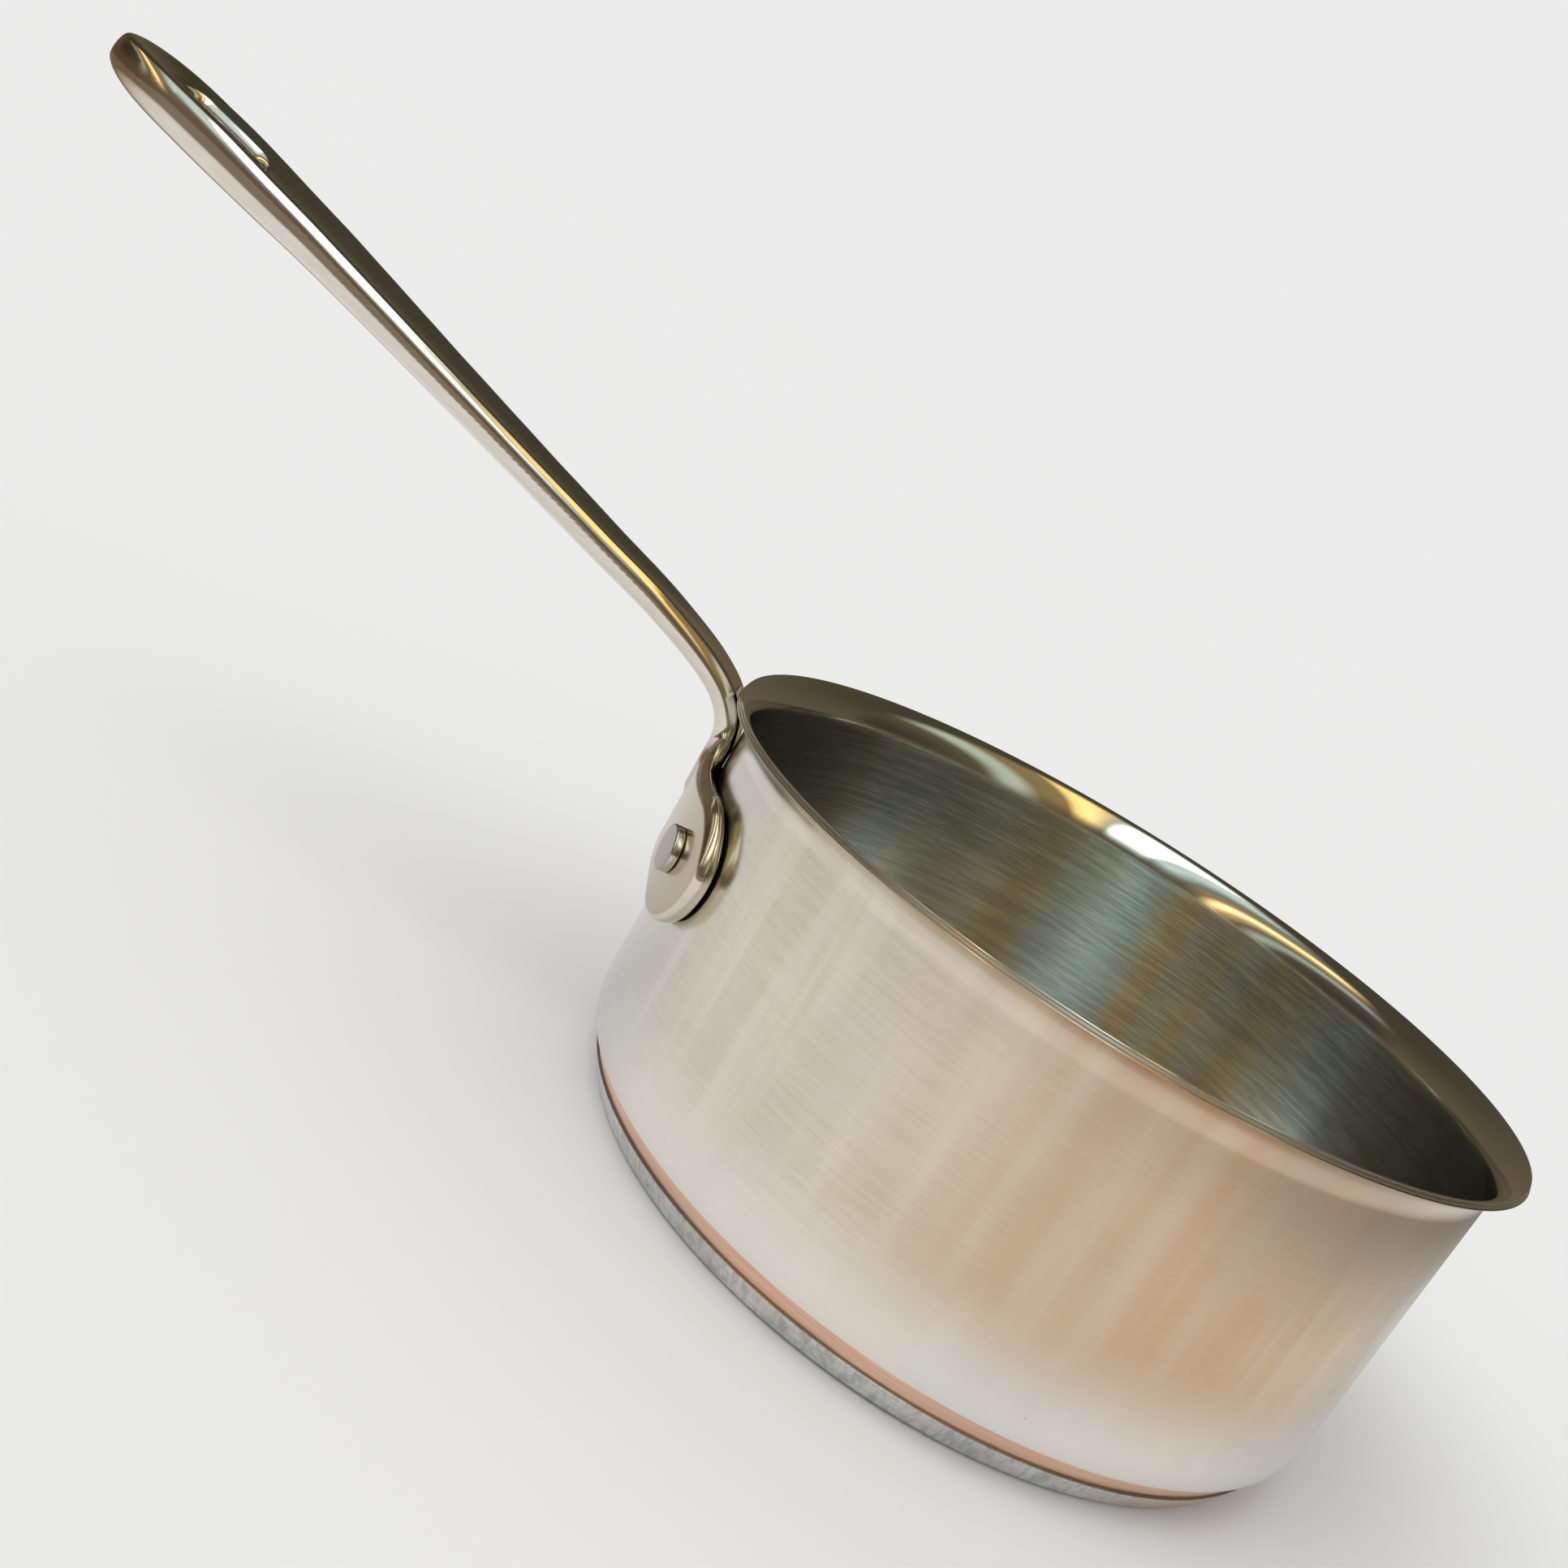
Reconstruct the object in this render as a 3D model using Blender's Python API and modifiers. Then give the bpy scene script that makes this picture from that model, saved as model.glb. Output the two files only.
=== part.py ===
"""Straight-sided clad saucepan with a copper core that shows in a groove near the base.

The bowl is a stack of turned plies. The outer two are cut by the groove, so each of them is a wall
piece and a base piece. One cast handle is held on the wall by two rivets.
Origin: centre of the underside, +Z up, the handle points along -X. Sizes are in millimetres and are
turned into metres by MM.
"""

import math

import bmesh
import bpy
from mathutils import Matrix, Vector

MM = 0.001
OBJECT_NAME = "clad_saucepan"

# Bowl, measured on the outside face of the wall
WALL_RADIUS = 103.5
RIM_HEIGHT = 97.3
SEGMENTS = 48

# Corner between wall and base: a round, a cone, then a tight round onto the flat
CORNER_RADIUS = 18.0
CORNER_START = 18.1
CONE_TURN = math.radians(29.0)
FOOT_RADIUS = 2.5

# Pouring lip: the wall turns outwards on an arc
LIP_RADIUS = 8.6
LIP_TURN = math.radians(68.0)

# Groove that bares the copper: its top edge is on the corner round, its bottom edge on the cone
GROOVE_TOP_TURN = math.radians(21.0)
GROOVE_BOTTOM_HEIGHT = 6.2

# Plies from the outside in, and the small step that keeps one from the next
PLY_GAP = 0.06
SKIN = 0.35
OUTER_ALUMINIUM = 0.20
COPPER = 0.45
INNER_ALUMINIUM = 0.20
LINING = 0.35
FLOOR_ROUND = 8.0
WALL_THICKNESS = SKIN + OUTER_ALUMINIUM + COPPER + INNER_ALUMINIUM + LINING + 4 * PLY_GAP
LIP_START = RIM_HEIGHT - (LIP_RADIUS + WALL_THICKNESS) * math.sin(LIP_TURN)

# Rivets
RIVET_ANGLE = math.radians(20.0)
RIVET_HEIGHT = 63.0
SHANK_RADIUS = 3.0
CLEARANCE = 0.3
OUTER_HEAD_RADIUS = 5.75
OUTER_HEAD_HEIGHT = 2.4
OUTER_HEAD_CHAMFER = 0.4
INNER_HEAD_RADIUS = 6.0
INNER_HEAD_HEIGHT = 2.2
# The inner head's flat face meets a curved wall, so it stands this much further off
INNER_HEAD_STAND_OFF = 0.2
RIVET_SEGMENTS = 24
HOLE_SEGMENTS = 16
HOLE_DEPTH = 24.0

# Flange of the handle on the wall
FLANGE_INNER = WALL_RADIUS + CLEARANCE
FLANGE_THICKNESS = 5.2
FLANGE_OUTER = FLANGE_INNER + FLANGE_THICKNESS
EAR_RADIUS = 16.0
# From the stem out to the top of an ear: across from the flange's middle, up from the rivets
FLANGE_SHOULDER = ((7.4, 21.5), (9.8, 17.6), (20.0, 15.8))
# Height, from the rivets, of the edge between the ears: beside each ear, and in the middle
FLANGE_DIP_SIDE = -13.4
FLANGE_DIP_MIDDLE = -10.0
# The blank the outline is cut from, below and above the rivets, and the depth of the cut
FLANGE_BLANK_BELOW = 30.0
FLANGE_BLANK_ABOVE = 19.0
FLANGE_CUT_DEPTH = 20.0

# Hanging slot: from and to along the handle's reach, its half width, and how it is cut
SLOT_START = 270.0
SLOT_END = 298.0
SLOT_HALF_WIDTH = 4.8
SLOT_HEIGHT = 146.5
SLOT_SLOPE = math.radians(15.0)
SLOT_CUT_DEPTH = 20.0

# Stations of the casting, from inside the flange out to the tip:
# reach from the pan's axis, height, slope in degrees, half width, half thickness, groove depth
HANDLE_STATIONS = (
    (106.4, 63.0, 90.0, 7.6, 2.0, 0.0),
    (106.5, 78.0, 90.0, 8.2, 2.4, 0.0),
    (107.2, 84.0, 82.0, 8.4, 2.6, 0.0),
    (108.5, 88.4, 64.0, 8.5, 2.9, 0.0),
    (111.2, 92.2, 46.0, 8.5, 3.1, 0.1),
    (115.0, 95.2, 31.0, 8.6, 3.1, 0.3),
    (121.5, 98.5, 23.0, 8.7, 3.2, 0.7),
    (135.0, 103.3, 18.5, 9.0, 3.3, 1.1),
    (156.0, 109.3, 16.5, 9.6, 3.4, 1.3),
    (186.0, 118.3, 17.0, 10.8, 3.6, 1.4),
    (218.0, 127.9, 17.0, 12.2, 4.1, 1.5),
    (246.0, 136.3, 16.5, 13.6, 4.7, 1.4),
    (264.0, 141.2, 15.5, 14.4, 5.3, 1.0),
    (281.0, 145.9, 15.0, 14.8, 5.7, 0.7),
    (295.0, 149.5, 14.0, 13.8, 5.6, 0.6),
    (303.5, 151.5, 12.0, 11.4, 5.1, 0.5),
    (309.3, 152.8, 10.0, 7.8, 4.1, 0.3),
    (312.0, 153.4, 8.0, 4.2, 2.8, 0.1),
)

# Half of a handle section, from the middle of the top round to the middle of the underside:
# across as a share of the half width, up as a share of the half thickness, share of the groove depth
SECTION_HALF = (
    (0.00, 1.00, 1.0),
    (0.46, 1.00, 0.7),
    (0.80, 1.00, 0.0),
    (0.96, 0.72, 0.0),
    (1.00, 0.20, 0.0),
    (0.92, -0.42, 0.0),
    (0.70, -0.84, 0.0),
    (0.36, -1.00, 0.0),
    (0.00, -1.00, 0.0),
)


def clear_scene():
    for item in list(bpy.data.objects):
        bpy.data.objects.remove(item, do_unlink=True)


def new_collection(name):
    collection = bpy.data.collections.new(name)
    bpy.context.scene.collection.children.link(collection)
    return collection


def make_material(name, colour, roughness):
    material = bpy.data.materials.new(name)
    material.use_nodes = True
    shader = material.node_tree.nodes["Principled BSDF"]
    shader.inputs["Base Color"].default_value = (*colour, 1.0)
    shader.inputs["Roughness"].default_value = roughness
    shader.inputs["Metallic"].default_value = 1.0
    return material


def add_object(name, mesh, collection, material=None):
    item = bpy.data.objects.new(name, mesh)
    collection.objects.link(item)
    if material:
        mesh.materials.append(material)
    return item


def add_cutter(name, mesh, collection):
    item = add_object(name, mesh, collection)
    item.hide_render = True
    item.display_type = "WIRE"
    return item


def shade_round(mesh):
    mesh.shade_smooth()
    mesh.set_sharp_from_angle(angle=math.radians(30.0))


def add_boolean(item, other, operation):
    modifier = item.modifiers.new(other.name, "BOOLEAN")
    modifier.operation = operation
    modifier.solver = "EXACT"
    modifier.object = other


def add_screw(item, steps):
    screw = item.modifiers.new("turn", "SCREW")
    screw.axis = "Z"
    screw.steps = steps
    screw.render_steps = steps
    screw.use_merge_vertices = True
    screw.merge_threshold = 0.00001
    screw.use_smooth_shade = True


def profile_mesh(name, points, closed):
    """A profile in the XZ plane, in millimetres, as edges to turn round Z."""
    mesh = bpy.data.meshes.new(name)
    vertices = [(radius * MM, 0.0, height * MM) for radius, height in points]
    edges = [(i, i + 1) for i in range(len(points) - 1)]
    if closed:
        edges.append((len(points) - 1, 0))
    mesh.from_pydata(vertices, edges, [])
    return mesh


# Bowl: places on the wall's outside face, each moved in by a depth along the normal

def lip_point(turn, depth):
    radius = WALL_RADIUS + LIP_RADIUS - (LIP_RADIUS + depth) * math.cos(turn)
    return radius, LIP_START + (LIP_RADIUS + depth) * math.sin(turn)


def corner_point(turn, depth):
    reach = CORNER_RADIUS - depth
    centre = WALL_RADIUS - CORNER_RADIUS
    return centre + reach * math.cos(turn), CORNER_START - reach * math.sin(turn)


def cone_point(height, depth):
    """The place on the cone whose outside face is at this height, moved in by the depth."""
    top_radius, top_height = corner_point(CONE_TURN, 0.0)
    radius = top_radius - (top_height - height) * math.tan(CONE_TURN)
    return radius - depth * math.cos(CONE_TURN), height + depth * math.sin(CONE_TURN)


def foot_point(turn, depth):
    """A place on the tight round between the cone and the flat underside."""
    top_radius, top_height = corner_point(CONE_TURN, 0.0)
    centre_height = FOOT_RADIUS
    start_height = centre_height - FOOT_RADIUS * math.sin(CONE_TURN)
    start_radius = top_radius - (top_height - start_height) * math.tan(CONE_TURN)
    centre_radius = start_radius - FOOT_RADIUS * math.cos(CONE_TURN)
    reach = FOOT_RADIUS - depth
    return centre_radius + reach * math.cos(turn), centre_height - reach * math.sin(turn)


def spread(first, last, count):
    return [first + (last - first) * i / (count - 1) for i in range(count)]


def wall_run(depth):
    """From the lip's end down to the top edge of the groove."""
    lip = [lip_point(turn, depth) for turn in spread(LIP_TURN, 0.0, 6)]
    return lip + [corner_point(turn, depth) for turn in spread(0.0, GROOVE_TOP_TURN, 3)]


def groove_run(depth):
    """Across the groove, from below its top edge to above its bottom edge."""
    return [corner_point(CONE_TURN, depth)]


def base_run(depth):
    """From the bottom edge of the groove round the foot to the axis."""
    foot = [foot_point(turn, depth) for turn in spread(CONE_TURN, math.pi / 2, 4)]
    return [cone_point(GROOVE_BOTTOM_HEIGHT, depth)] + foot + [(0.0, depth)]


def whole_run(depth):
    return wall_run(depth) + groove_run(depth) + base_run(depth)


def inside_run(depth):
    """The lining's inside face: as whole_run, with a wide round where the wall meets the floor."""
    top_radius, top_height = corner_point(CONE_TURN, depth)
    half_turn = (math.pi / 2 - CONE_TURN) / 2
    floor_corner = top_radius - (top_height - depth) * math.tan(CONE_TURN)
    centre_radius = floor_corner - FLOOR_ROUND * math.tan(half_turn)
    centre_height = depth + FLOOR_ROUND
    floor_round = [
        (centre_radius + FLOOR_ROUND * math.cos(turn), centre_height - FLOOR_ROUND * math.sin(turn))
        for turn in spread(CONE_TURN, math.pi / 2, 4)
    ]
    return wall_run(depth) + groove_run(depth) + floor_round + [(0.0, depth)]


def turned_ply(name, outside, inside, material, collection):
    """A turned shell between two runs that both go from top to bottom."""
    reaches_axis = outside[-1][0] == 0.0
    profile = profile_mesh(name, inside[::-1] + outside, not reaches_axis)
    item = add_object(name, profile, collection, material)
    add_screw(item, SEGMENTS)
    return item


def make_plies(collection, materials):
    """All plies of the bowl, named, from the outside in."""
    skin_in = SKIN
    outer_aluminium_out = skin_in + PLY_GAP
    outer_aluminium_in = outer_aluminium_out + OUTER_ALUMINIUM
    copper_out = outer_aluminium_in + PLY_GAP
    copper_in = copper_out + COPPER
    inner_aluminium_out = copper_in + PLY_GAP
    inner_aluminium_in = inner_aluminium_out + INNER_ALUMINIUM
    lining_out = inner_aluminium_in + PLY_GAP
    table = (
        ("outer_steel_wall", wall_run, wall_run, 0.0, skin_in, "skin"),
        ("outer_steel_base", base_run, base_run, 0.0, skin_in, "base_skin"),
        ("outer_aluminium_wall", wall_run, wall_run, outer_aluminium_out, outer_aluminium_in, "aluminium"),
        ("outer_aluminium_base", base_run, base_run, outer_aluminium_out, outer_aluminium_in, "aluminium"),
        ("copper_core", whole_run, whole_run, copper_out, copper_in, "copper"),
        ("inner_aluminium_ply", whole_run, whole_run, inner_aluminium_out, inner_aluminium_in, "aluminium"),
        ("inner_steel_lining", whole_run, inside_run, lining_out, WALL_THICKNESS, "lining"),
    )
    plies = []
    for name, outside, inside, start, end, finish in table:
        ply = turned_ply(name, outside(start), inside(end), materials[finish], collection)
        plies.append(ply)
    return plies


# Handle

def handle_section(station):
    """The section's points in metres, counter-clockwise seen from the tip."""
    reach, height, slope, half_width, half_thickness, groove = station
    tilt = math.radians(slope)
    centre = Vector((-reach, 0.0, height))
    up = Vector((math.sin(tilt), 0.0, math.cos(tilt)))
    across = Vector((0.0, 1.0, 0.0))
    half = []
    for share_across, share_up, share_groove in SECTION_HALF:
        rise = share_up * half_thickness - share_groove * groove
        half.append((share_across * half_width, rise))
    outline = half + [(-x, y) for x, y in half[-2:0:-1]]
    return [(centre + across * x + up * y) * MM for x, y in outline]


def loft_mesh(name, sections):
    """A closed skin over sections that have the same number of points."""
    shape = bmesh.new()
    rings = [[shape.verts.new(point) for point in section] for section in sections]
    count = len(rings[0])
    for near, far in zip(rings, rings[1:]):
        for i in range(count):
            j = (i + 1) % count
            shape.faces.new((near[i], near[j], far[j], far[i]))
    shape.faces.new(rings[0])
    shape.faces.new(rings[-1])
    bmesh.ops.recalc_face_normals(shape, faces=shape.faces)
    mesh = bpy.data.meshes.new(name)
    shape.to_mesh(mesh)
    shape.free()
    return mesh


def flange_outline():
    """Control points of the flange seen from the handle's side: across, up from the rivets."""
    across = (FLANGE_OUTER - FLANGE_THICKNESS / 2) * math.sin(RIVET_ANGLE)
    right = list(FLANGE_SHOULDER)
    for turn in spread(math.pi / 2, -math.pi / 2, 5):
        right.append((across + EAR_RADIUS * math.cos(turn), EAR_RADIUS * math.sin(turn)))
    right.append((across - EAR_RADIUS * math.sqrt(0.5), FLANGE_DIP_SIDE))
    return right + [(0.0, FLANGE_DIP_MIDDLE)] + [(-x, up) for x, up in right[::-1]]


def flange_block(collection):
    """The flange's outline as a thick plate across the wall, before it is curved."""
    curve = bpy.data.curves.new("flange_outline", "CURVE")
    curve.dimensions = "2D"
    curve.fill_mode = "BOTH"
    curve.resolution_u = 3
    curve.extrude = FLANGE_CUT_DEPTH * MM
    spline = curve.splines.new("BEZIER")
    points = flange_outline()
    spline.bezier_points.add(len(points) - 1)
    spline.use_cyclic_u = True
    for point, (across, up) in zip(spline.bezier_points, points):
        point.co = (across * MM, (RIVET_HEIGHT + up) * MM, 0.0)
        point.handle_left_type = "AUTO"
        point.handle_right_type = "AUTO"
    item = bpy.data.objects.new("flange_outline", curve)
    collection.objects.link(item)
    upright = Matrix(((0.0, 0.0, -1.0), (-1.0, 0.0, 0.0), (0.0, 1.0, 0.0))).to_4x4()
    stand = Matrix.Translation((-FLANGE_OUTER * MM, 0.0, 0.0)) @ upright
    item.matrix_world = stand
    bpy.context.view_layer.update()
    evaluated = item.evaluated_get(bpy.context.evaluated_depsgraph_get())
    mesh = bpy.data.meshes.new_from_object(evaluated)
    shape = bmesh.new()
    shape.from_mesh(mesh)
    bmesh.ops.remove_doubles(shape, verts=shape.verts, dist=0.00001)
    bmesh.ops.recalc_face_normals(shape, faces=shape.faces)
    shape.to_mesh(mesh)
    shape.free()
    block = add_cutter("flange_block", mesh, collection)
    block.matrix_world = stand
    bpy.data.objects.remove(item, do_unlink=True)
    return block


def flange_blank(collection):
    """A ring as thick as the flange, turned with the wall's own facets."""
    low = RIVET_HEIGHT - FLANGE_BLANK_BELOW
    high = RIVET_HEIGHT + FLANGE_BLANK_ABOVE
    ring = [(FLANGE_OUTER, high), (FLANGE_OUTER, low), (FLANGE_INNER, low), (FLANGE_INNER, high)]
    item = add_cutter("flange", profile_mesh("flange", ring, True), collection)
    add_screw(item, SEGMENTS)
    return item


def slot_cutter(collection):
    """A slot with round ends, square to the top of the handle's loop."""
    middle = (SLOT_START + SLOT_END) / 2
    half_run = (SLOT_END - SLOT_START) / 2 - SLOT_HALF_WIDTH
    shape = bmesh.new()
    outline = []
    for side in (1.0, -1.0):
        for angle in spread(-math.pi / 2, math.pi / 2, 7):
            across = SLOT_HALF_WIDTH * math.sin(angle) * side
            along = (half_run + SLOT_HALF_WIDTH * math.cos(angle)) * side
            point = (-along * MM, across * MM, -SLOT_CUT_DEPTH / 2 * MM)
            outline.append(shape.verts.new(point))
    face = shape.faces.new(outline)
    grown = bmesh.ops.extrude_face_region(shape, geom=[face])
    top = [part for part in grown["geom"] if isinstance(part, bmesh.types.BMVert)]
    bmesh.ops.translate(shape, verts=top, vec=(0.0, 0.0, SLOT_CUT_DEPTH * MM))
    bmesh.ops.recalc_face_normals(shape, faces=shape.faces)
    mesh = bpy.data.meshes.new("slot_cutter")
    shape.to_mesh(mesh)
    shape.free()
    item = add_cutter("slot_cutter", mesh, collection)
    item.location = (-middle * MM, 0.0, SLOT_HEIGHT * MM)
    item.rotation_euler = (0.0, SLOT_SLOPE, 0.0)
    return item


def rivet_axis(side):
    """Angle of a rivet round the pan's axis; side is -1 for the near ear and 1 for the far one."""
    return math.pi - side * RIVET_ANGLE


def hole_cutter(name, side, radius, collection):
    """A cylinder along a rivet's axis, through the flange and the wall."""
    bpy.ops.mesh.primitive_cylinder_add(
        vertices=HOLE_SEGMENTS, radius=radius * MM, depth=HOLE_DEPTH * MM
    )
    item = bpy.context.object
    for owner in list(item.users_collection):
        owner.objects.unlink(item)
    collection.objects.link(item)
    item.name = name
    angle = rivet_axis(side)
    item.location = (
        WALL_RADIUS * math.cos(angle) * MM,
        WALL_RADIUS * math.sin(angle) * MM,
        RIVET_HEIGHT * MM,
    )
    item.rotation_euler = (0.0, math.pi / 2, angle)
    item.hide_render = True
    item.display_type = "WIRE"
    return item


def make_handle(collection, cutters, material):
    """The stick and its loop, joined to the flange, with the slot cut through the loop."""
    flange = flange_blank(cutters)
    add_boolean(flange, flange_block(cutters), "INTERSECT")
    stick = loft_mesh("handle", map(handle_section, HANDLE_STATIONS))
    handle = add_object("handle", stick, collection, material)
    add_boolean(handle, flange, "UNION")
    add_boolean(handle, slot_cutter(cutters), "DIFFERENCE")
    return handle


def make_rivet(name, side, collection, material):
    """Head outside, shank through everything, domed head inside; turned, then laid on its axis."""
    outer_face = FLANGE_OUTER + CLEARANCE
    inner_face = WALL_RADIUS - WALL_THICKNESS - CLEARANCE - INNER_HEAD_STAND_OFF
    outer_top = outer_face + OUTER_HEAD_HEIGHT
    profile = [
        (0.0, outer_top),
        (OUTER_HEAD_RADIUS - OUTER_HEAD_CHAMFER, outer_top),
        (OUTER_HEAD_RADIUS, outer_top - OUTER_HEAD_CHAMFER),
        (OUTER_HEAD_RADIUS, outer_face),
        (SHANK_RADIUS, outer_face),
        (SHANK_RADIUS, inner_face),
    ]
    for turn in spread(0.0, math.radians(67.5), 4):
        radius = INNER_HEAD_RADIUS * math.cos(turn)
        profile.append((radius, inner_face - INNER_HEAD_HEIGHT * math.sin(turn)))
    profile.append((0.0, inner_face - INNER_HEAD_HEIGHT))
    item = add_object(name, profile_mesh(name, profile, False), collection, material)
    add_screw(item, RIVET_SEGMENTS)
    item.rotation_euler = (0.0, math.pi / 2, rivet_axis(side))
    item.location = (0.0, 0.0, RIVET_HEIGHT * MM)
    return item


def main():
    clear_scene()
    parts = new_collection(OBJECT_NAME)
    cutters = new_collection("cutters")
    materials = {
        "skin": make_material("brushed_steel_outside", (0.66, 0.62, 0.56), 0.28),
        "base_skin": make_material("brushed_steel_base", (0.42, 0.43, 0.42), 0.38),
        "aluminium": make_material("aluminium", (0.70, 0.71, 0.72), 0.45),
        "copper": make_material("copper", (0.78, 0.45, 0.33), 0.35),
        "lining": make_material("brushed_steel_inside", (0.55, 0.55, 0.52), 0.30),
        "casting": make_material("polished_steel", (0.74, 0.72, 0.68), 0.10),
    }
    plies = make_plies(parts, materials)
    handle = make_handle(parts, cutters, materials["casting"])
    for side, name in ((-1, "near"), (1, "far")):
        cutter = hole_cutter("hole_" + name, side, SHANK_RADIUS + CLEARANCE, cutters)
        make_rivet("rivet_" + name, side, parts, materials["casting"])
        for item in plies + [handle]:
            if not item.name.endswith("_base"):
                add_boolean(item, cutter, "DIFFERENCE")
    for item in parts.objects:
        shade_round(item.data)


main()
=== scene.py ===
import math

import bpy
import numpy as np
from mathutils import Matrix, Vector


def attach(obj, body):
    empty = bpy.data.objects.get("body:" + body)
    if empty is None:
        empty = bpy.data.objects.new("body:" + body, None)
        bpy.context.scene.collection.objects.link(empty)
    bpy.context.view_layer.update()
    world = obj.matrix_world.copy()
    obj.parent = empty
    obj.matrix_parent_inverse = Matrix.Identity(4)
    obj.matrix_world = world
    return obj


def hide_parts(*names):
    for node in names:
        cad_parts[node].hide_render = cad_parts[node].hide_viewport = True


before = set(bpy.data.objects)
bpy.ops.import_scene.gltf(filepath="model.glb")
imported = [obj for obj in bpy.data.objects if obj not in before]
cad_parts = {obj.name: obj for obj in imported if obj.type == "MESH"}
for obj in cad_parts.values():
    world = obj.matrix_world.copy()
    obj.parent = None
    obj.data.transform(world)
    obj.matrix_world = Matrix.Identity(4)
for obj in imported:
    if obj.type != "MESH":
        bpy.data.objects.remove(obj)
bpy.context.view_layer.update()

MM = 0.001

# Bowl, in millimetres, measured on the outside face of the wall
WALL_RADIUS = 103.5
RIM_HEIGHT = 97.3
CORNER_RADIUS = 18.0
CORNER_START = 18.1
CONE_TURN = math.radians(29.0)
FOOT_RADIUS = 2.5
LIP_RADIUS = 8.6
LIP_TURN = math.radians(68.0)
GROOVE_TOP_TURN = math.radians(21.0)
GROOVE_BOTTOM_HEIGHT = 6.2
PLY_GAP = 0.06
SKIN = 0.35
OUTER_ALUMINIUM = 0.20
COPPER = 0.45
INNER_ALUMINIUM = 0.20
LINING = 0.35
FLOOR_ROUND = 8.0
WALL_THICKNESS = SKIN + OUTER_ALUMINIUM + COPPER + INNER_ALUMINIUM + LINING + 4 * PLY_GAP
LIP_START = RIM_HEIGHT - (LIP_RADIUS + WALL_THICKNESS) * math.sin(LIP_TURN)
TURN_STEPS = 320

# Rivets
RIVET_ANGLE = math.radians(20.0)
RIVET_HEIGHT = 63.0
SHANK_RADIUS = 3.0
OUTER_HEAD_RADIUS = 5.75
OUTER_HEAD_HEIGHT = 2.4
INNER_HEAD_RADIUS = 6.0
INNER_HEAD_HEIGHT = 2.2

# Flange of the handle
FLANGE_INNER = WALL_RADIUS + 0.3
FLANGE_THICKNESS = 5.2
FLANGE_OUTER = FLANGE_INNER + FLANGE_THICKNESS
EAR_RADIUS = 16.0
EAR_ACROSS = 37.2
STEM_HALF_WIDTH = 8.4
STEM_TOP = 84.0

# Slot in the loop
SLOT_START = 270.0
SLOT_END = 298.0
SLOT_HALF_WIDTH = 6.2
SLOT_STRETCH = 1.03
SLOT_ROUND = 2.2

# Section of the stick: a rounded box of this power, whose crown is cut off by the grooved top
SECTION_POWER = 2.4
CROWN = 9.0
GROOVE_REACH = 0.80
GROOVE_POWER = 1.2
RAIL_ROUND = 3.2
HANDLE_STEP = 0.6

# Stations of the casting: reach, height, slope in degrees, half width, half thickness,
# groove depth, and how far the section has gone from the stem's round form to the stick's
STATIONS = np.array((
    (106.4, 70.0, 90.0, 8.4, 2.6, 0.0, 0.0),
    (106.5, 78.0, 90.0, 8.4, 2.7, 0.0, 0.0),
    (107.0, 84.0, 82.0, 8.5, 3.0, 0.0, 0.0),
    (108.3, 88.4, 64.0, 8.6, 3.2, 0.0, 0.0),
    (111.1, 92.2, 46.0, 8.6, 3.3, 0.1, 0.0),
    (115.0, 95.2, 31.0, 8.6, 3.3, 0.3, 0.1),
    (121.5, 98.5, 23.0, 8.7, 3.4, 0.8, 0.3),
    (135.0, 103.3, 18.5, 9.0, 3.5, 1.6, 0.75),
    (156.0, 109.3, 16.5, 9.6, 3.6, 1.9, 1.0),
    (186.0, 118.3, 17.0, 10.8, 3.8, 2.1, 1.0),
    (218.0, 127.9, 17.0, 12.2, 4.3, 2.3, 1.0),
    (246.0, 136.3, 16.5, 13.6, 4.9, 2.5, 1.0),
    (264.0, 141.2, 15.5, 14.4, 5.4, 2.7, 1.0),
    (281.0, 145.9, 15.0, 14.8, 5.8, 2.7, 1.0),
    (295.0, 149.5, 13.5, 14.6, 5.6, 2.5, 1.0),
    (304.0, 151.5, 12.0, 14.4, 5.4, 1.9, 1.0),
    (312.3, 153.1, 10.0, 14.2, 5.1, 1.4, 1.0),
))
TIP_LENGTH = 23.0


# Turned pieces

def lip_point(turn, depth):
    radius = WALL_RADIUS + LIP_RADIUS - (LIP_RADIUS + depth) * math.cos(turn)
    return radius, LIP_START + (LIP_RADIUS + depth) * math.sin(turn)


def corner_point(turn, depth):
    reach = CORNER_RADIUS - depth
    centre = WALL_RADIUS - CORNER_RADIUS
    return centre + reach * math.cos(turn), CORNER_START - reach * math.sin(turn)


def cone_point(height, depth):
    top_radius, top_height = corner_point(CONE_TURN, 0.0)
    radius = top_radius - (top_height - height) * math.tan(CONE_TURN)
    return radius - depth * math.cos(CONE_TURN), height + depth * math.sin(CONE_TURN)


def foot_point(turn, depth):
    top_radius, top_height = corner_point(CONE_TURN, 0.0)
    start_height = FOOT_RADIUS - FOOT_RADIUS * math.sin(CONE_TURN)
    start_radius = top_radius - (top_height - start_height) * math.tan(CONE_TURN)
    centre_radius = start_radius - FOOT_RADIUS * math.cos(CONE_TURN)
    reach = FOOT_RADIUS - depth
    return centre_radius + reach * math.cos(turn), FOOT_RADIUS - reach * math.sin(turn)


def spread(first, last, count):
    return [first + (last - first) * i / (count - 1) for i in range(count)]


def straight(start, end, step=3.0):
    """Points from start towards end, without the end, so that long runs stay fine."""
    length = math.dist(start, end)
    count = max(1, int(length / step))
    return [
        (start[0] + (end[0] - start[0]) * i / count, start[1] + (end[1] - start[1]) * i / count)
        for i in range(count)
    ]


def chain(points, step=3.0):
    """The same run of points with long straights cut up."""
    out = []
    for start, end in zip(points, points[1:]):
        out += straight(start, end, step)
    return out + [points[-1]]


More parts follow.
